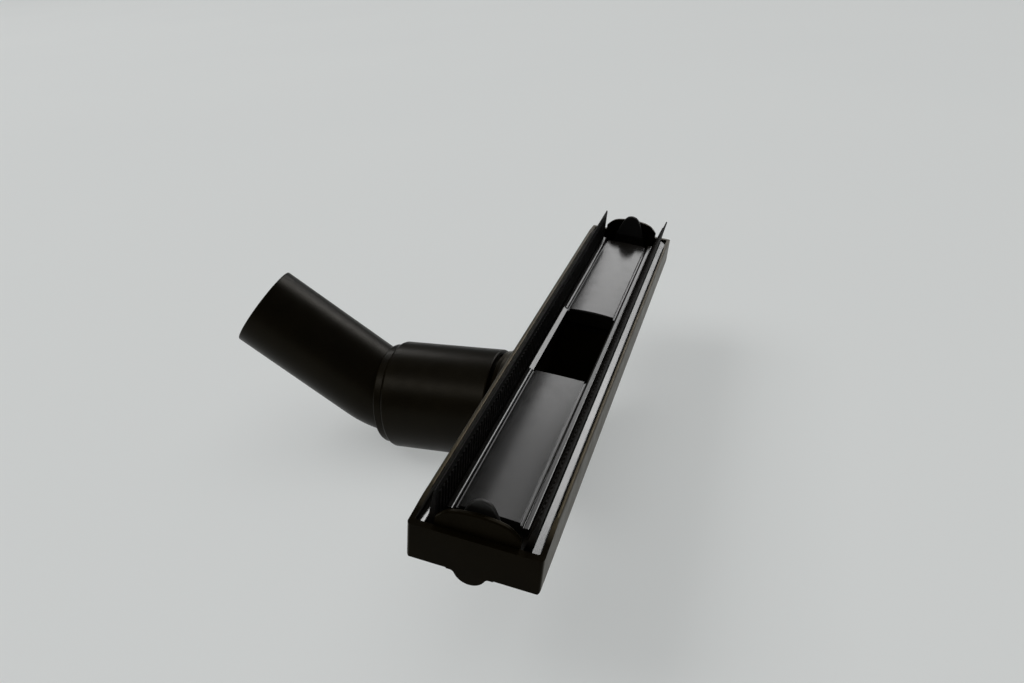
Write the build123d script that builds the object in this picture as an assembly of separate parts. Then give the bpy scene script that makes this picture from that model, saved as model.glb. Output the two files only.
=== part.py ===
from build123d import *
import math
import os

os.makedirs("parts", exist_ok=True)

# ---------------------------------------------------------------------------
# Wet-pickup floor tool, lying upside down: the suction side faces up, the
# duct hump and the neck collar lie on the ground.
# World frame: +Z up, z = 0 is the ground, X runs along the head, +Y runs
# along the neck axis away from the head, x = 0 is the middle of the head.
# Head frame: x along the head, y towards the neck, z = 0 is the plane of the
# rail tops and +z points out of the suction side. It is tipped about X.
# All lengths in millimetres, angles in degrees.
# ---------------------------------------------------------------------------

# head
HEAD_L = 266.0            # length of the head
HEAD_W = 45.0             # width over the side walls
HEAD_H = 16.5             # depth of the side walls
HEAD_TIP = 9.38           # slope of the head against the neck axis
RAIL_Z = 65.95            # height of the rail plane at the head's centre line
WALL_IN = 20.8            # half width between the side walls
SEAT_IN = 18.4            # half width of the trough below the insert's seat
SEAT_Z = -5.6             # seat of the insert's flange
END_IN = 130.6            # inner face of the end walls
SKIN_T = 2.4              # upper skin
R_TOP = 0.8               # rounding of the rail edges
R_SKIN = 2.2              # rounding of the skin edges
R_POST = 1.3              # rounding of the four corners
RIDGE_W = 11.0            # half-round spine on the skin
RIDGE_H = 4.3
RIDGE_Y = 0.8
RIDGE_FLARE = 1.7         # hollow rounding where it meets the skin
END_DROP = 1.8            # the rails fall away towards both ends
END_RUN = 19.0
ARCH_T = 1.9              # raised web on each end wall
ARCH_W = 14.0

# suction channel insert
INS_X = 118.0             # half length of the floor and the inner ribs
GROOVE_X = 128.6          # half length of the blade grooves
FLANGE_X = 130.2          # half length of the flange
FLANGE_Y = 20.62          # half width of the flange
FLANGE_Z = -2.2           # top of the flange beside the lip, sloping down outwards
FLANGE_LOW = -3.05        # top of the flange beside the wall
FLOOR_Z = -2.7            # channel floor under the rail plane
FLOOR_T = 2.2
CROWN = 0.38              # the floor is slightly arched
FLOOR_W = 10.6            # half width of the flat floor
RIB_IN = 11.38            # inner rib of the blade groove, level with the floor
RIB_OUT = 14.6
RIB_Z = -2.7
RIB_X = 120.2             # half length of the inner ribs
GROOVE_OUT = 17.48
GROOVE_Z = -8.2
FOOT_IN = 12.9
FOOT_Z = -6.0
INS_Z = -9.8              # underside of the groove blocks
INS_W = 18.15
HOLE_L = 58.6             # suction hole
HOLE_W = 23.0
SPIGOT_T = 1.6            # rim under the hole
TAB_X = 126.6             # spring tab with a finger nib at each end
TAB_T = 1.7
TAB_Z = 10.2

# squeegee blades
BLADE_X = 128.4           # half length
BLADE_TIP_Z = 10.2
BLADE_IN = 14.8           # inner and outer face where the lip leaves the groove
BLADE_OUT = 17.35
REAR_TIP_Y = 15.2         # both lips lean the same way
FRONT_TIP_Y = -19.0
BLADE_TIP_T = 0.7
LIP_Z = -3.4              # the lip leans from here
TOOTH_P = 2.62            # pitch of the upright ribs
TOOTH_D = 0.45
TOOTH_Z0 = -2.4
TOOTH_Z1 = 7.6

# neck
AX_Z = 26.0               # height of the neck axis
STUB_R = 25.5
STUB_Y1 = 37.3            # end of the stub
SPIG_R = 22.5             # bayonet spigot
SPIG_Y1 = 50.0
BORE_R = 18.5
COLLAR_R = 26.0
COLLAR_Y0 = 39.1
COLLAR_Y1 = 90.5
COLLAR_CB = 22.65         # counterbore over the spigot
COLLAR_BORE = 21.2
SHOULDER_Y = 57.3

# swivel elbow
ELB_R = 20.0
ELB_BORE = 16.8
SOCKET_R = 17.7           # takes a 35 mm wand
SOCKET_L = 34.0
ELB_ANGLE = 40.4          # bend
ELB_YAW = -7.9            # rest position of the swivel about the neck axis
BEND_Y = 99.0             # where the two centre lines meet
BEND_R = 28.0
TUBE_L = 73.6             # from the meeting point to the mouth
FLANGE_R = 24.2
FLANGE_Y0 = 90.9
FLANGE_Y1 = 95.2
JOURNAL_R = 21.13
JOURNAL_Y0 = 52.6
NOSE_R = 19.0
NOSE_Y0 = 45.0


def to_world(shape):
    """Head frame to world frame."""
    return Pos(0, 0, RAIL_Z) * Rot(HEAD_TIP, 0, 0) * shape


def block(x0, x1, y0, y1, z0, z1):
    return Pos((x0 + x1) / 2, (y0 + y1) / 2, (z0 + z1) / 2) * Box(x1 - x0, y1 - y0, z1 - z0)


def prism_x(points, x0, x1):
    """Extrude a (y, z) outline along X."""
    face = make_face(Polyline(*[(0, y, z) for y, z in points], close=True))
    solid = extrude(face, amount=x1 - x0, dir=(1, 0, 0))
    return Pos(x0, 0, 0) * solid


def outline_x(points, rounds, x0, x1, crown=None):
    """Extrude a (y, z) outline along X, with some corners rounded and its last side arched."""
    pts = [(0, y, z) for y, z in points]
    if crown is None:
        face = make_face(Polyline(*pts, close=True))
    else:
        face = make_face([Polyline(*pts), ThreePointArc(pts[-1], (0, crown[0], crown[1]), pts[0])])
    for y, z, r in rounds:
        face = fillet([v for v in face.vertices() if abs(v.Y - y) < 0.001 and abs(v.Z - z) < 0.001], r)
    return Pos(x0, 0, 0) * extrude(face, amount=x1 - x0, dir=(1, 0, 0))


def ring_y(r_out, r_in, y0, y1):
    """Ring about the neck axis."""
    place = Pos(0, (y0 + y1) / 2, AX_Z) * Rot(90, 0, 0)
    body = place * Cylinder(r_out, y1 - y0)
    if r_in > 0:
        body = body - place * Cylinder(r_in, y1 - y0 + 2.0)
    return body


def turned_y(points):
    """Turn an (r, y) outline about the neck axis."""
    face = make_face(Polyline(*[(r, y, AX_Z) for r, y in points], close=True))
    return revolve(face, axis=Axis((0, 0, AX_Z), (0, 1, 0)), revolution_arc=360)


def one(shape):
    """The single solid of a result."""
    solids = shape.solids()
    return max(solids, key=lambda s: s.volume)


def save(shape, name, colour):
    shape.label = name
    shape.color = Color(*colour)
    export_step(shape, "parts/" + name + ".step")


BLACK = (0.05, 0.05, 0.05)
RUBBER = (0.10, 0.085, 0.075)
GREY = (0.55, 0.55, 0.53)
STEEL = (0.7, 0.7, 0.7)

# ---------------------------------------------------------------------------
# head housing: long trough, end walls, spine, duct hump, stub and spigot
# ---------------------------------------------------------------------------
HX = HEAD_L / 2
hw = HEAD_W / 2
shell = outline_x([(hw, 0), (hw, -HEAD_H), (-hw, -HEAD_H), (-hw, 0)],
                  [(hw, 0, R_TOP), (-hw, 0, R_TOP), (hw, -HEAD_H, R_SKIN), (-hw, -HEAD_H, R_SKIN)], -HX, HX)
posts = Pos(0, 0, -HEAD_H / 2) * Box(HEAD_L, HEAD_W, HEAD_H + 10)
shell = shell & fillet(posts.edges().filter_by(Axis.Z), R_POST)
# the rails fall away towards both ends
for sx in (-1, 1):
    wedge = Polyline((sx * (HX - END_RUN), 0, 0.0), (sx * (HX + 4), 0, 0.0),
                     (sx * (HX + 4), 0, -END_DROP * (END_RUN + 4) / END_RUN), close=True)
    drop = extrude(make_face(wedge), amount=HEAD_W, both=True, dir=(0, 1, 0))
    shell = shell - drop
    ease = Polyline((sx * (HX - 0.6), 0, -HEAD_H), (sx * (HX + 1), 0, -HEAD_H + 1.6), (sx * (HX + 1), 0, -HEAD_H - 1), (sx * (HX - 0.6), 0, -HEAD_H - 1), close=True)
    shell = shell - extrude(make_face(ease), amount=HEAD_W, both=True, dir=(0, 1, 0))

ridge_rad = ((RIDGE_W / 2) ** 2 + RIDGE_H ** 2) / (2 * RIDGE_H)
ridge_face = Pos(0, 0.6) * Rectangle(RIDGE_W + 5.0, 1.2) + Pos(0, ridge_rad - RIDGE_H) * Circle(ridge_rad)
ridge_face = ridge_face - Pos(0, 11.2) * Rectangle(60.0, 20.0)
corners = [v for v in ridge_face.vertices() if abs(v.Y) < 0.05 and abs(v.X) < RIDGE_W / 2 + 0.5]
ridge_face = fillet(corners, RIDGE_FLARE)
ridge = extrude(Plane(origin=(-HX + 0.2, RIDGE_Y, -HEAD_H), x_dir=(0, 1, 0), z_dir=(1, 0, 0)) * ridge_face, amount=HEAD_L - 0.4)
shell = shell + ridge

# duct hump below the head, with a flat pad on the ground
pad = Pos(0, 11.0, 0) * RectangleRounded(48.0, 26.0, 9.0)
brow = Pos(0, 4.2, 50.5) * RectangleRounded(104.0, 36.0, 12.0)
hump = loft([pad.faces()[0], brow.faces()[0]], ruled=True)
hump = fillet(hump.faces().sort_by(Axis.Z)[0].edges(), 2.5)
hump = hump + block(-40, 40, -12, 19, 49.0, 53.0)

# horn from the side wall to the stub, and the stub
horn_secs = []
for y, zc, w, h, r in ((14.0, 38.5, 104.0, 30.0, 14.0), (25.5, 33.0, 66.0, 40.5, 19.5), (35.5, AX_Z, 50.8, 50.8, 25.2)):
    sec = Plane(origin=(0, y, zc), x_dir=(1, 0, 0), z_dir=(0, 1, 0)) * RectangleRounded(w, h, r)
    horn_secs.append(sec.faces()[0])
fairing = loft(horn_secs)
stub = ring_y(STUB_R, 0, 4.0, STUB_Y1)
stub = fillet(stub.edges().sort_by(Axis.Y)[-1], 0.6)
spigot = ring_y(SPIG_R, 0, STUB_Y1 - 1.0, SPIG_Y1)
spigot = chamfer(spigot.edges().sort_by(Axis.Y)[-1], 0.5)

housing = to_world(shell) + hump + fairing + stub + spigot

# trough for the insert: wide above its seat, narrower below
trough = block(-END_IN, END_IN, -WALL_IN, WALL_IN, SEAT_Z, 6)
trough = fillet(trough.edges().filter_by(Axis.Z), 0.8)
trough = trough + block(-END_IN, END_IN, -SEAT_IN, SEAT_IN, -HEAD_H + SKIN_T, SEAT_Z + 0.1)
# inner edges of the rails, eased
for sy in (-1, 1):
    ease = outline_x([(sy * (WALL_IN - 1.0), -0.45), (sy * WALL_IN, -0.45), (sy * (WALL_IN + 0.14), -0.14),
                      (sy * (WALL_IN + 0.45), 0.0), (sy * (WALL_IN + 0.45), 2.0), (sy * (WALL_IN - 1.0), 2.0)],
                     [], -END_IN + 0.9, END_IN - 0.9)
    trough = trough + ease
# duct: from the suction hole down into the bore
duct_top = Plane(origin=(0, 0, -11.5), x_dir=(1, 0, 0), z_dir=(0, 0, 1)) * RectangleRounded(HOLE_L + 3.8, HOLE_W + 3.8, 3.0)
duct_low = Plane(origin=(0, 1.5, -46.0), x_dir=(1, 0, 0), z_dir=(0, 0, 1)) * RectangleRounded(32.0, 22.0, 9.0)
duct = loft([duct_top.faces()[0], duct_low.faces()[0]], ruled=True)
bore = ring_y(BORE_R, 0, -1.0, 60.0)
bore = fillet(bore.edges().sort_by(Axis.Y)[0], 8.0)
seat = ring_y(NOSE_R + 1.3, 0, NOSE_Y0 - 0.6, 60.0)
housing = housing - to_world(trough) - to_world(duct) - bore - seat

# bayonet lugs on the spigot
for k in range(3):
    lug = Pos(0, 45.5, AX_Z) * Rot(0, 120.0 * k + 30.0, 0) * Pos(22.6, 0, 0) * Box(2.2, 3.0, 9.0)
    housing = housing + (lug - ring_y(SPIG_R - 0.8, 0, 40, 52))

# raised web with a low arch on each end wall, with a window for the catch
ARCH = [(-14.0, 1.6), (-13.0, 2.7), (-11.0, 4.6), (-8.4, 5.8), (-4.5, 6.5), (0.0, 6.8),
        (4.5, 6.5), (8.4, 5.8), (11.0, 4.6), (13.0, 2.7), (14.0, 1.6)]
arch_edge = Spline([(0, y, z) for y, z in ARCH])
arch_low = Polyline((0, ARCH_W, 1.6), (0, ARCH_W, -HEAD_H + 1.0), (0, -ARCH_W, -HEAD_H + 1.0), (0, -ARCH_W, 1.6))
arch_web = extrude(make_face([arch_edge, arch_low]), amount=ARCH_T, dir=(1, 0, 0))
arch_web = fillet(arch_web.edges().filter_by(GeomType.BSPLINE), 0.5)
for sx in (-1, 1):
    web = Pos(sx * (END_IN + 0.2) - (ARCH_T if sx > 0 else 0), 0, 0) * arch_web
    window = block(min(sx * (END_IN - 3), sx * (END_IN + 0.3)), max(sx * (END_IN - 3), sx * (END_IN + 0.3)), -6.4, 6.4, -7.7, -4.9)
    housing = housing + to_world(web) - to_world(window)
housing = one(housing)
save(housing, "head_housing", BLACK)

# ---------------------------------------------------------------------------
# channel insert: floor with the suction hole, ribs, grooves, flange and a
# spring tab with a finger nib at each end
# ---------------------------------------------------------------------------
half = [
    (FLOOR_W, FLOOR_Z - CROWN), (FLOOR_W, FLOOR_Z - 1.5), (RIB_IN, FLOOR_Z - 1.5), (RIB_IN, RIB_Z), (RIB_OUT, RIB_Z),
    (RIB_OUT, FOOT_Z), (FOOT_IN, FOOT_Z), (FOOT_IN, GROOVE_Z), (GROOVE_OUT, GROOVE_Z), (GROOVE_OUT, FLANGE_Z),
    (FLANGE_Y, FLANGE_LOW), (FLANGE_Y, SEAT_Z), (INS_W, SEAT_Z), (INS_W, INS_Z), (FLOOR_W, INS_Z),
    (FLOOR_W, FLOOR_Z - FLOOR_T - 1.2), (FLOOR_W - 0.4, FLOOR_Z - FLOOR_T),
]
rounds = [(FLOOR_W, FLOOR_Z - CROWN, 0.2), (RIB_IN, RIB_Z, 1.1), (RIB_OUT, RIB_Z, 1.0),
          (GROOVE_OUT, FLANGE_Z, 0.3), (FLANGE_Y, FLANGE_LOW, 0.25)]
outline = half + [(-y, z) for y, z in reversed(half)]
insert = outline_x(outline, rounds + [(-y, z, r) for y, z, r in rounds], -INS_X, INS_X, (0.0, FLOOR_Z))
flange = [(GROOVE_OUT, FLANGE_Z), (FLANGE_Y, FLANGE_LOW), (FLANGE_Y, SEAT_Z), (INS_W, SEAT_Z), (INS_W, INS_Z)]
side = [(FOOT_IN, INS_Z), (FOOT_IN, GROOVE_Z), (GROOVE_OUT, GROOVE_Z)] + flange
edge = [(GROOVE_OUT, INS_Z)] + flange
rib = [(RIB_IN, RIB_Z), (RIB_OUT, RIB_Z), (RIB_OUT, FOOT_Z), (RIB_IN, FOOT_Z)]
for sy in (-1, 1):
    lip_side = [(sy * GROOVE_OUT, FLANGE_Z, 0.3), (sy * FLANGE_Y, FLANGE_LOW, 0.25)]
    insert = insert + outline_x([(sy * y, z) for y, z in side], lip_side, -GROOVE_X, GROOVE_X)
    insert = insert + outline_x([(sy * y, z) for y, z in edge], lip_side, -FLANGE_X, FLANGE_X)
    insert = insert + outline_x([(sy * y, z) for y, z in rib], [(sy * RIB_IN, RIB_Z, 1.1), (sy * RIB_OUT, RIB_Z, 1.0)], -RIB_X, RIB_X)
# cross ribs under the floor
for cx in (-90.0, -60.0, 60.0, 90.0):
    insert = insert + block(cx - 0.8, cx + 0.8, -11.2, 11.2, INS_Z, FLOOR_Z - FLOOR_T + 0.2)
# rim of the suction hole, reaching down to the gasket
rim = block(-HOLE_L / 2 - SPIGOT_T, HOLE_L / 2 + SPIGOT_T, -11.2, 11.2, INS_Z, FLOOR_Z - FLOOR_T + 0.2)
insert = insert + rim
hole = Pos(0, 0, -6.0) * extrude(RectangleRounded(HOLE_L, HOLE_W - 0.2, 1.0), amount=6.0, both=True)
insert = insert - hole
# eased edge round the hole
hole_edge = Pos(0, 0, FLOOR_Z - 0.6) * extrude(RectangleRounded(HOLE_L, HOLE_W - 0.2, 1.0), amount=1.0, taper=-45)
insert = insert - hole_edge
# wide slope along the hole on the neck side
side_y = HOLE_W / 2 - 0.1
slope = prism_x([(side_y - 1.0, FLOOR_Z - 0.8), (side_y, FLOOR_Z - 0.8), (side_y + 1.8, FLOOR_Z), (side_y + 1.8, FLOOR_Z + 1.0), (side_y - 1.0, FLOOR_Z + 1.0)],
                -HOLE_L / 2, HOLE_L / 2)
insert = insert - slope
# tongue, tab, nib and catch at each end
nib_edge = Spline([(0, -9.0, -6.6), (0, -6.6, 2.0), (0, -4.7, 6.6), (0, -3.1, 9.0), (0, 0, TAB_Z), (0, 3.1, 9.0), (0, 4.7, 6.6), (0, 6.6, 2.0), (0, 9.0, -6.6)])
nib_low = Polyline((0, 9.0, -6.6), (0, 9.0, INS_Z), (0, -9.0, INS_Z), (0, -9.0, -6.6))
tab = extrude(make_face([nib_edge, nib_low]), amount=TAB_T, dir=(1, 0, 0))
tab = fillet(tab.edges().filter_by(GeomType.BSPLINE), 0.55)
for sx in (-1, 1):
    x0, x1 = sorted((sx * (INS_X - 1.0), sx * (TAB_X + TAB_T / 2)))
    insert = insert + block(x0, x1, -FOOT_IN - 0.1, FOOT_IN + 0.1, INS_Z, GROOVE_Z)
    insert = insert + Pos(sx * TAB_X - TAB_T / 2, 0, 0) * tab
    x0, x1 = sorted((sx * TAB_X, sx * (END_IN - 0.3)))
    insert = insert + block(x0, x1, -6.0, 6.0, -7.2, -5.4)
    # close the floor against the tongue
    x0, x1 = sorted((sx * (INS_X - 1.6), sx * INS_X))
    insert = insert + block(x0, x1, -11.2, 11.2, INS_Z, FLOOR_Z - FLOOR_T + 0.2)
insert = one(insert)
save(to_world(insert), "channel_insert", BLACK)

# ---------------------------------------------------------------------------
# squeegee blades: hooked foot in the groove, lip thinning to its edge,
# upright ribs on the face towards the channel
# ---------------------------------------------------------------------------


def blade(tip_y, name):
    """One lip; built on the +y side, tip_y is the middle of its edge there."""
    t_in = tip_y - BLADE_TIP_T / 2
    t_out = tip_y + BLADE_TIP_T / 2
    z0 = LIP_Z
    lip = [
        (BLADE_IN, FOOT_Z - 0.1), (BLADE_IN, z0), (t_in, BLADE_TIP_Z - 0.3), (t_in + 0.2, BLADE_TIP_Z),
        (t_out - 0.2, BLADE_TIP_Z), (t_out, BLADE_TIP_Z - 0.3), (BLADE_OUT, z0), (BLADE_OUT, GROOVE_Z + 0.08),
        (FOOT_IN + 0.12, GROOVE_Z + 0.08), (FOOT_IN + 0.12, FOOT_Z - 0.1),
    ]
    body = prism_x(lip, -BLADE_X, BLADE_X)
    count = int((2 * BLADE_X - 3.0) / TOOTH_P)
    first = -(count - 1) * TOOTH_P / 2
    pts = [(-BLADE_X + 0.4, 0)]
    for k in range(count):
        c = first + k * TOOTH_P
        pts += [(c - 0.85, 0), (c - 0.45, -TOOTH_D), (c + 0.45, -TOOTH_D), (c + 0.85, 0)]
    pts += [(BLADE_X - 0.4, 0), (BLADE_X - 0.4, 0.5), (-BLADE_X + 0.4, 0.5)]
    comb = extrude(make_face(Polyline(*[(x, y, 0) for x, y in pts], close=True)), amount=TOOTH_Z1 - TOOTH_Z0 + 1.0)
    # lean the comb so that it follows the lip
    lean = math.atan2(t_in - BLADE_IN, BLADE_TIP_Z - 0.3 - z0)
    y_at = BLADE_IN + math.tan(lean) * (TOOTH_Z0 - z0)
    comb = Pos(0, y_at, TOOTH_Z0) * Rot(-math.degrees(lean), 0, 0) * comb
    comb = comb & block(-BLADE_X, BLADE_X, 5, 25, TOOTH_Z0 + 0.1, TOOTH_Z1)
    solid = one(body + comb)
    print(name, "teeth", count, "lean", round(math.degrees(lean), 2))
    return solid


rear = blade(REAR_TIP_Y, "rear")
front = one(mirror(blade(-FRONT_TIP_Y, "front"), about=Plane.XZ))
save(to_world(rear), "rear_squeegee", RUBBER)
save(to_world(front), "front_squeegee", RUBBER)

# ---------------------------------------------------------------------------
# duct gasket between the insert and the housing
# ---------------------------------------------------------------------------
gasket = block(-HOLE_L / 2 - 4.4, HOLE_L / 2 + 4.4, -15.0, 15.0, -HEAD_H + SKIN_T, INS_Z)
gasket = fillet(gasket.edges().filter_by(Axis.Z), 3.0)
gasket = gasket - Pos(0, 0, -12.0) * extrude(RectangleRounded(HOLE_L + 3.8, HOLE_W + 3.8, 3.0), amount=6.0, both=True)
save(to_world(one(gasket)), "duct_gasket", RUBBER)

# ---------------------------------------------------------------------------
# swivel collar: locks on the spigot, carries the elbow's journal
# ---------------------------------------------------------------------------
collar = turned_y([
    (COLLAR_CB, COLLAR_Y0), (COLLAR_R - 0.7, COLLAR_Y0), (COLLAR_R - 0.2, COLLAR_Y0 + 0.2), (COLLAR_R, COLLAR_Y0 + 0.7),
    (COLLAR_R, COLLAR_Y1 - 1.2), (COLLAR_R - 0.35, COLLAR_Y1 - 0.35), (COLLAR_R - 1.2, COLLAR_Y1),
    (COLLAR_BORE, COLLAR_Y1), (COLLAR_BORE, SHOULDER_Y), (COLLAR_CB, SHOULDER_Y),
])
for k in range(3):
    turn = Rot(0, 120.0 * k + 30.0, 0)
    pocket = Pos(0, 45.5, AX_Z) * turn * Pos(22.9, 0, 0) * Box(2.2, 3.4, 9.6)
    entry = Pos(0, 41.5, AX_Z) * Rot(0, 120.0 * k + 54.0, 0) * Pos(22.9, 0, 0) * Box(2.2, 11.4, 10.4)
    link = Pos(0, 45.5, AX_Z) * Rot(0, 120.0 * k + 42.0, 0) * Pos(22.9, 0, 0) * Box(2.2, 3.4, 9.6)
    collar = collar - pocket - entry - link
collar = one(collar)
save(collar, "swivel_collar", BLACK)

# ---------------------------------------------------------------------------
# swivel elbow: nose, journal, flange, bend and wand socket
# ---------------------------------------------------------------------------
T = BEND_R * math.tan(math.radians(ELB_ANGLE / 2))
ca, sa = math.cos(math.radians(ELB_ANGLE)), math.sin(math.radians(ELB_ANGLE))
arc_y = BEND_Y - T                       # start of the bend
p_arc = (0, BEND_Y + T * ca, AX_Z + T * sa)
tube_dir = (0, ca, sa)
mouth = (0, BEND_Y + TUBE_L * ca, AX_Z + TUBE_L * sa)

# centre line: along the neck axis, round the bend, along the tube


def run_of(radius, y_start, past):
    """Round bar along the elbow's centre line."""
    end = tuple(mouth[i] + tube_dir[i] * past for i in range(3))
    first = Line((0, y_start, AX_Z), (0, arc_y, AX_Z))
    turn = TangentArc((0, arc_y, AX_Z), p_arc, tangent=(0, 1, 0))
    last = Line(p_arc, end)
    path = Wire([first, turn, last])
    disc = Plane(origin=(0, y_start, AX_Z), x_dir=(1, 0, 0), z_dir=(0, 1, 0)) * Circle(radius)
    return sweep(disc, path=path)


core = turned_y([
    (ELB_BORE - 2.0, NOSE_Y0), (NOSE_R, NOSE_Y0), (NOSE_R, NOSE_Y0 + 2.2), (NOSE_R - 1.0, NOSE_Y0 + 2.2),
    (NOSE_R - 1.0, NOSE_Y0 + 4.4), (NOSE_R, NOSE_Y0 + 4.4), (NOSE_R, JOURNAL_Y0), (JOURNAL_R - 0.4, JOURNAL_Y0),
    (JOURNAL_R, JOURNAL_Y0 + 0.4), (JOURNAL_R, 53.8), (19.8, 53.8), (19.8, 55.4), (JOURNAL_R, 55.4), (JOURNAL_R, 65.0),
    (20.4, 65.7), (20.4, 82.8), (JOURNAL_R, 83.5), (JOURNAL_R, FLANGE_Y0), (FLANGE_R - 0.3, FLANGE_Y0),
    (FLANGE_R, FLANGE_Y0 + 0.3), (FLANGE_R, FLANGE_Y1 - 0.9), (FLANGE_R - 0.3, FLANGE_Y1 - 0.3), (FLANGE_R - 0.9, FLANGE_Y1),
    (ELB_BORE - 2.0, FLANGE_Y1),
])
elbow = core + run_of(ELB_R, 70.0, 0.0)
socket = Plane(origin=tuple(mouth[i] - tube_dir[i] * SOCKET_L for i in range(3)), x_dir=(1, 0, 0), z_dir=tube_dir)
elbow = elbow - run_of(ELB_BORE, NOSE_Y0 - 2.0, 2.0)
elbow = elbow - extrude(socket * Circle(SOCKET_R), amount=SOCKET_L + 2.0)
rims = [e for e in elbow.edges().filter_by(GeomType.CIRCLE)
        if (e.position_at(0) - Vector(*mouth)).length < ELB_R + 0.5 and (e.position_at(0.5) - Vector(*mouth)).length < ELB_R + 0.5]
elbow = fillet(rims, 0.7)
elbow = one(elbow)
print("elbow volume", round(elbow.volume), "valid", elbow.is_valid)


def yawed(shape):
    """Turn about the neck axis into the rest position."""
    return Pos(0, 0, AX_Z) * Rot(0, ELB_YAW, 0) * Pos(0, 0, -AX_Z) * shape


save(yawed(elbow), "swivel_elbow", BLACK)

# split ring in the journal groove, thrust washer, lip seal on the nose
snap = ring_y(22.35, 19.88, 53.87, 55.33)
snap = snap - Pos(0, 54.6, AX_Z + 21) * Box(7.0, 4.0, 8.0)
save(one(yawed(snap)), "retaining_ring", GREY)

washer = ring_y(22.5, 21.5, 55.75, 57.25)
save(one(washer), "thrust_washer", GREY)

seal = turned_y([
    (NOSE_R - 0.95, NOSE_Y0 + 2.3), (NOSE_R + 1.0, NOSE_Y0 + 2.3), (NOSE_R + 1.24, NOSE_Y0 + 2.8),
    (NOSE_R + 1.24, NOSE_Y0 + 3.8), (NOSE_R + 1.0, NOSE_Y0 + 4.3), (NOSE_R - 0.95, NOSE_Y0 + 4.3),
])
save(one(seal), "neck_seal", RUBBER)

yaw = math.radians(ELB_YAW)
print("mouth", round(mouth[2] - AX_Z, 2) and [round(v, 3) for v in (
    (mouth[2] - AX_Z) * math.sin(yaw), mouth[1], AX_Z + (mouth[2] - AX_Z) * math.cos(yaw))])
print("tube dir", [round(v, 5) for v in (sa * math.sin(yaw), ca, sa * math.cos(yaw))])
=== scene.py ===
import bpy
import math
from mathutils import Matrix, Vector

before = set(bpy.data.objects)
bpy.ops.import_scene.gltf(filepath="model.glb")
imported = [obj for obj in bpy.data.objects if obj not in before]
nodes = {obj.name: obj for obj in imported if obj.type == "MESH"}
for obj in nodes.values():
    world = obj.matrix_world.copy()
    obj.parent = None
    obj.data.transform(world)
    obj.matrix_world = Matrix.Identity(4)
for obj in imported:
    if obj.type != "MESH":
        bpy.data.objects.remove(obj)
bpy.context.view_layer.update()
scene = bpy.context.scene

# ---------------------------------------------------------------------------
# materials
# ---------------------------------------------------------------------------


class Net:
    """Small helper for node materials."""

    def __init__(self, name):
        self.mat = bpy.data.materials.new(name)
        self.mat.use_nodes = True
        self.nt = self.mat.node_tree
        self.bsdf = self.nt.nodes["Principled BSDF"]
        self.coord = self.nt.nodes.new("ShaderNodeTexCoord").outputs["Object"]

    def add(self, kind, **values):
        node = self.nt.nodes.new(kind)
        for key, value in values.items():
            setattr(node, key, value)
        return node

    def link(self, a, b):
        self.nt.links.new(a, b)

    def noise(self, scale, detail=3.0, rough=0.5, stretch=None):
        """Noise value; scale in features per metre."""
        node = self.add("ShaderNodeTexNoise")
        node.inputs["Scale"].default_value = scale
        node.inputs["Detail"].default_value = detail
        node.inputs["Roughness"].default_value = rough
        if stretch:
            m = self.add("ShaderNodeMapping")
            m.inputs["Scale"].default_value = stretch
            self.link(self.coord, m.inputs["Vector"])
            self.link(m.outputs["Vector"], node.inputs["Vector"])
        else:
            self.link(self.coord, node.inputs["Vector"])
        return node.outputs["Fac"]

    def ramp(self, fac, stops):
        node = self.add("ShaderNodeValToRGB")
        els = node.color_ramp.elements
        while len(els) < len(stops):
            els.new(0.5)
        for e, (pos, col) in zip(els, stops):
            e.position = pos
            e.color = (col[0], col[1], col[2], 1.0) if not isinstance(col, float) else (col, col, col, 1.0)
        self.link(fac, node.inputs["Fac"])
        return node.outputs["Color"]

    def remap(self, fac, a, b, lo, hi):
        node = self.add("ShaderNodeMapRange")
        node.inputs["From Min"].default_value = a
        node.inputs["From Max"].default_value = b
        node.inputs["To Min"].default_value = lo
        node.inputs["To Max"].default_value = hi
        self.link(fac, node.inputs["Value"])
        return node.outputs["Result"]

    def along(self, direction, offset):
        """Distance along a direction from a plane, in metres."""
        dot = self.add("ShaderNodeVectorMath", operation="DOT_PRODUCT")
        dot.inputs[1].default_value = direction
        self.link(self.coord, dot.inputs[0])
        return self.math("SUBTRACT", dot.outputs["Value"], offset)

    def math(self, kind, a, b=None):
        node = self.add("ShaderNodeMath", operation=kind)
        self.link(a, node.inputs[0])
        if isinstance(b, float):
            node.inputs[1].default_value = b
        elif b is not None:
            self.link(b, node.inputs[1])
        return node.outputs["Value"]

    def bump(self, height, distance, strength=1.0, below=None):
        node = self.add("ShaderNodeBump")
        node.inputs["Distance"].default_value = distance
        node.inputs["Strength"].default_value = strength
        self.link(height, node.inputs["Height"])
        if below is not None:
            self.link(below, node.inputs["Normal"])
        return node.outputs["Normal"]

    def set(self, **values):
        for key, value in values.items():
            self.bsdf.inputs[key.replace("_", " ")].default_value = value

    def done(self, colour=None, rough=None, normal=None):
        if colour is not None:
            self.link(colour, self.bsdf.inputs["Base Color"])
        if rough is not None:
            self.link(rough, self.bsdf.inputs["Roughness"])
        if normal is not None:
            self.link(normal, self.bsdf.inputs["Normal"])
        return self.mat


# the head is tipped about X: normal of its top plane and of its middle plane, with offsets
ACROSS_TOP = (0.0, -0.16303, 0.98662)
TOP_OFFSET = 0.98662 * 0.06595
ACROSS = (0.0, 0.98662, 0.16303)
ACROSS_OFFSET = 0.16303 * 0.06595


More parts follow.
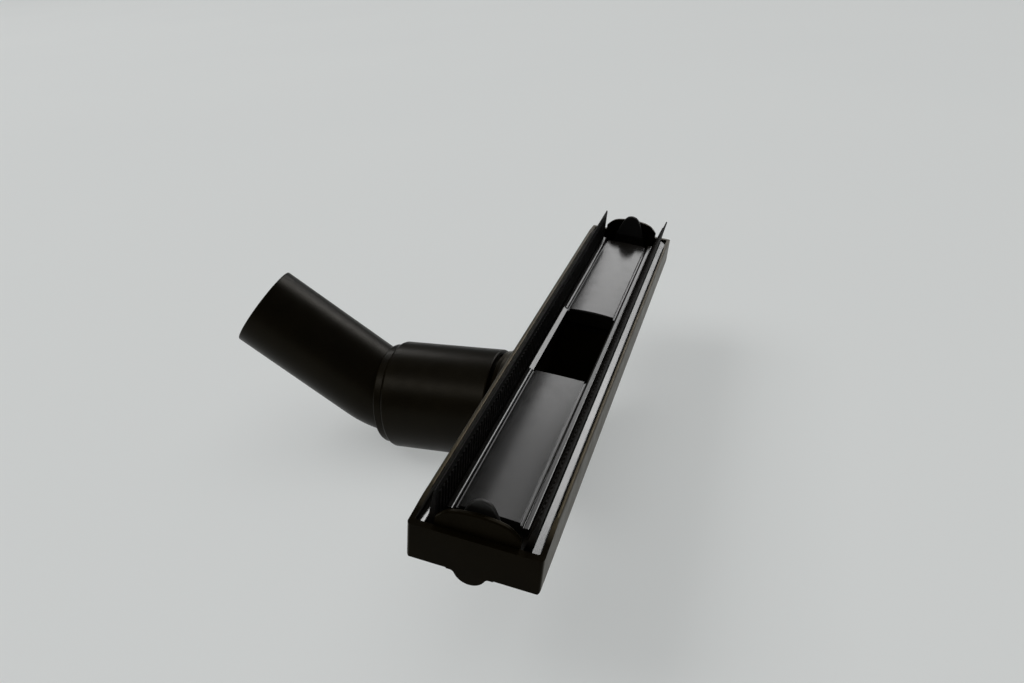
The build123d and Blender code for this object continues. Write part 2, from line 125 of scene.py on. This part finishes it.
def plastic(name, dark, light, r0, r1, specular, grain=0.000012, waviness=0.00003, matt_nib=False, rails=False, tint=(1.0, 1.0, 1.0)):
    """Moulded black plastic: faint flow clouds, fine eroded grain, slight waviness."""
    n = Net(name)
    n.set(IOR=1.5, Specular_IOR_Level=specular, Specular_Tint=(tint[0], tint[1], tint[2], 1.0))
    cloud = n.noise(60.0, 4.0, 0.55)
    colour = n.ramp(cloud, [(0.35, dark), (0.65, light)])
    rough = n.remap(n.noise(160.0, 4.0, 0.6), 0.3, 0.7, r0, r1)
    if matt_nib:
        # the finger nibs stand above the rest and have a dull grain
        height = n.along(ACROSS_TOP, TOP_OFFSET)
        rough = n.math("ADD", rough, n.remap(height, -0.0016, -0.0008, 0.0, 0.36))
    if rails:
        # the rails are rubbed smooth, the walls have a satin sheen seen along them
        height = n.along(ACROSS_TOP, TOP_OFFSET)
        side = n.math("ABSOLUTE", n.along(ACROSS, ACROSS_OFFSET))
        rubbed = n.math("MULTIPLY", n.remap(height, -0.0012, -0.0004, 0.0, 0.46), n.remap(side, 0.0180, 0.0195, 0.0, 1.0))
        facing = n.add("ShaderNodeLayerWeight")
        facing.inputs["Blend"].default_value = 0.5
        sheen = n.remap(facing.outputs["Facing"], 0.42, 0.80, specular, 0.50)
        n.link(n.math("MAXIMUM", rubbed, sheen), n.bsdf.inputs["Specular IOR Level"])
    soft = n.bump(n.noise(45.0, 2.0, 0.4), waviness)
    fine = n.bump(n.noise(3200.0, 2.0, 0.5), grain, 1.0, soft)
    return n.done(colour, rough, fine)


def rubber(name, dark, light):
    n = Net(name)
    n.set(IOR=1.5, Specular_IOR_Level=0.14)
    colour = n.ramp(n.noise(330.0, 5.0, 0.6), [(0.38, dark), (0.66, light)])
    rough = n.remap(n.noise(700.0, 3.0, 0.6), 0.3, 0.7, 0.55, 0.8)
    a = n.bump(n.noise(500.0, 4.0, 0.6), 0.00006)
    return n.done(colour, rough, n.bump(n.noise(4000.0, 2.0, 0.5), 0.00002, 1.0, a))


def bearing(name):
    n = Net(name)
    n.set(IOR=1.5)
    colour = n.ramp(n.noise(300.0), [(0.3, (0.52, 0.52, 0.50)), (0.7, (0.60, 0.60, 0.57))])
    rough = n.remap(n.noise(500.0), 0.3, 0.7, 0.4, 0.55)
    return n.done(colour, rough, n.bump(n.noise(2500.0), 0.00001))


WARM = (1.0, 0.78, 0.38)
HOUSING = plastic("housing_plastic", (0.0026, 0.0017, 0.0005), (0.0042, 0.0029, 0.0010), 0.36, 0.46, 0.04, rails=True, tint=WARM)
INSERT = plastic("insert_plastic", (0.0070, 0.0062, 0.0050), (0.0100, 0.0088, 0.0070), 0.14, 0.20, 0.5, grain=0.000006, waviness=0.00001, matt_nib=True)
NECK = plastic("neck_plastic", (0.0040, 0.0029, 0.0010), (0.0060, 0.0044, 0.0017), 0.31, 0.39, 0.09, tint=(1.0, 0.92, 0.76))
LIP = rubber("lip_rubber", (0.0024, 0.0018, 0.0011), (0.0095, 0.0072, 0.0046))
RING = bearing("bearing_plastic")

finish = {
    "head_housing": HOUSING, "channel_insert": INSERT, "front_squeegee": LIP, "rear_squeegee": LIP,
    "duct_gasket": LIP, "swivel_collar": NECK, "swivel_elbow": NECK, "retaining_ring": RING,
    "thrust_washer": RING, "neck_seal": LIP,
}
for name, mat in finish.items():
    obj = nodes[name]
    obj.data.materials.clear()
    obj.data.materials.append(mat)

# ---------------------------------------------------------------------------
# stage, light, camera
# ---------------------------------------------------------------------------


def floor():
    """Pale table top."""
    n = Net("table")
    n.set(Roughness=0.9)
    n.bsdf.inputs["Specular IOR Level"].default_value = 0.0
    colour = n.ramp(n.noise(2.0, 2.0), [(0.3, (0.445, 0.455, 0.452)), (0.7, (0.455, 0.465, 0.460))])
    # lit from below, as a light table is
    n.set(Emission_Color=(0.974, 1.0, 0.990, 1.0), Emission_Strength=0.36)
    mat = n.done(colour)
    mesh = bpy.data.meshes.new("table")
    s = 14.0
    mesh.from_pydata([(-s, -s, 0), (s, -s, 0), (s, s, 0), (-s, s, 0)], [], [(0, 1, 2, 3)])
    mesh.materials.append(mat)
    obj = bpy.data.objects.new("table", mesh)
    scene.collection.objects.link(obj)


def softbox(name, azimuth, elevation, distance, width, height, radiance, glossy=True, diffuse=True):
    """Area light facing the object; azimuth from +Y towards +X, radiance of its face."""
    a, e = math.radians(azimuth), math.radians(elevation)
    d = Vector((math.sin(a) * math.cos(e), math.cos(a) * math.cos(e), math.sin(e)))
    light = bpy.data.lights.new(name, "AREA")
    light.shape = "RECTANGLE"
    light.size = width
    light.size_y = height
    light.energy = radiance * math.pi * width * height
    obj = bpy.data.objects.new(name, light)
    obj.location = Vector((0, 0, 0.05)) + d * distance
    obj.rotation_euler = (-d).to_track_quat("-Z", "Y").to_euler()
    obj.visible_glossy = glossy
    obj.visible_diffuse = diffuse
    scene.collection.objects.link(obj)
    return obj


floor()
world = bpy.data.worlds.new("studio")
world.use_nodes = True
back = world.node_tree.nodes["Background"]
back.inputs["Color"].default_value = (0.97, 0.985, 1.0, 1.0)
back.inputs["Strength"].default_value = 0.08
scene.world = world

# seen in the gloss
softbox("back", 87.9, 26, 8.0, 1.40, 3.1, 2.5, diffuse=False)
softbox("back_high", 86.0, 43, 8.0, 1.2, 1.9, 1.45, diffuse=False)
softbox("right_low", 109, 22, 8.0, 2.1, 1.7, 3.6, diffuse=False)
softbox("right_high", 109, 38.5, 8.0, 2.1, 3.0, 7.3, diffuse=False)
softbox("left_key", 53, 35, 8.0, 1.2, 1.7, 8.5, diffuse=False)
softbox("left_soft", -50, 47, 8.0, 3.6, 2.2, 3.4, diffuse=False)
softbox("low", 122, 7, 8.0, 3.0, 1.2, 2.5, diffuse=False)
# low fills that show the form from the other sides
softbox("front_fill", 190, 15, 8.0, 4.5, 2.0, 1.6, diffuse=False)
softbox("rear_fill", 8, 18, 8.0, 4.0, 2.2, 1.6, diffuse=False)
softbox("top_fill", 0, 88, 8.0, 3.0, 3.0, 0.8, diffuse=False)
# even light on the table
softbox("dome", 0, 89, 8.0, 13.0, 13.0, 0.55, glossy=False)
softbox("back_fill", -5, 50, 8.0, 5.0, 4.0, 2.6, glossy=False)

cam_data = bpy.data.cameras.new("camera")
cam_data.lens = 28.65
cam_data.sensor_width = 36.0
cam_data.clip_start = 0.01
camera = bpy.data.objects.new("camera", cam_data)
right = Vector((0.30374, -0.94959, -0.07758))
up = Vector((0.46893, 0.07812, 0.87977))
fwd = Vector((0.82936, 0.30360, -0.46902))
camera.matrix_world = Matrix((
    (right.x, up.x, -fwd.x, -0.3078),
    (right.y, up.y, -fwd.y, -0.0819),
    (right.z, up.z, -fwd.z, 0.2347),
    (0, 0, 0, 1),
))
scene.collection.objects.link(camera)
scene.camera = camera
scene.view_settings.view_transform = "Standard"
scene.view_settings.look = "None"
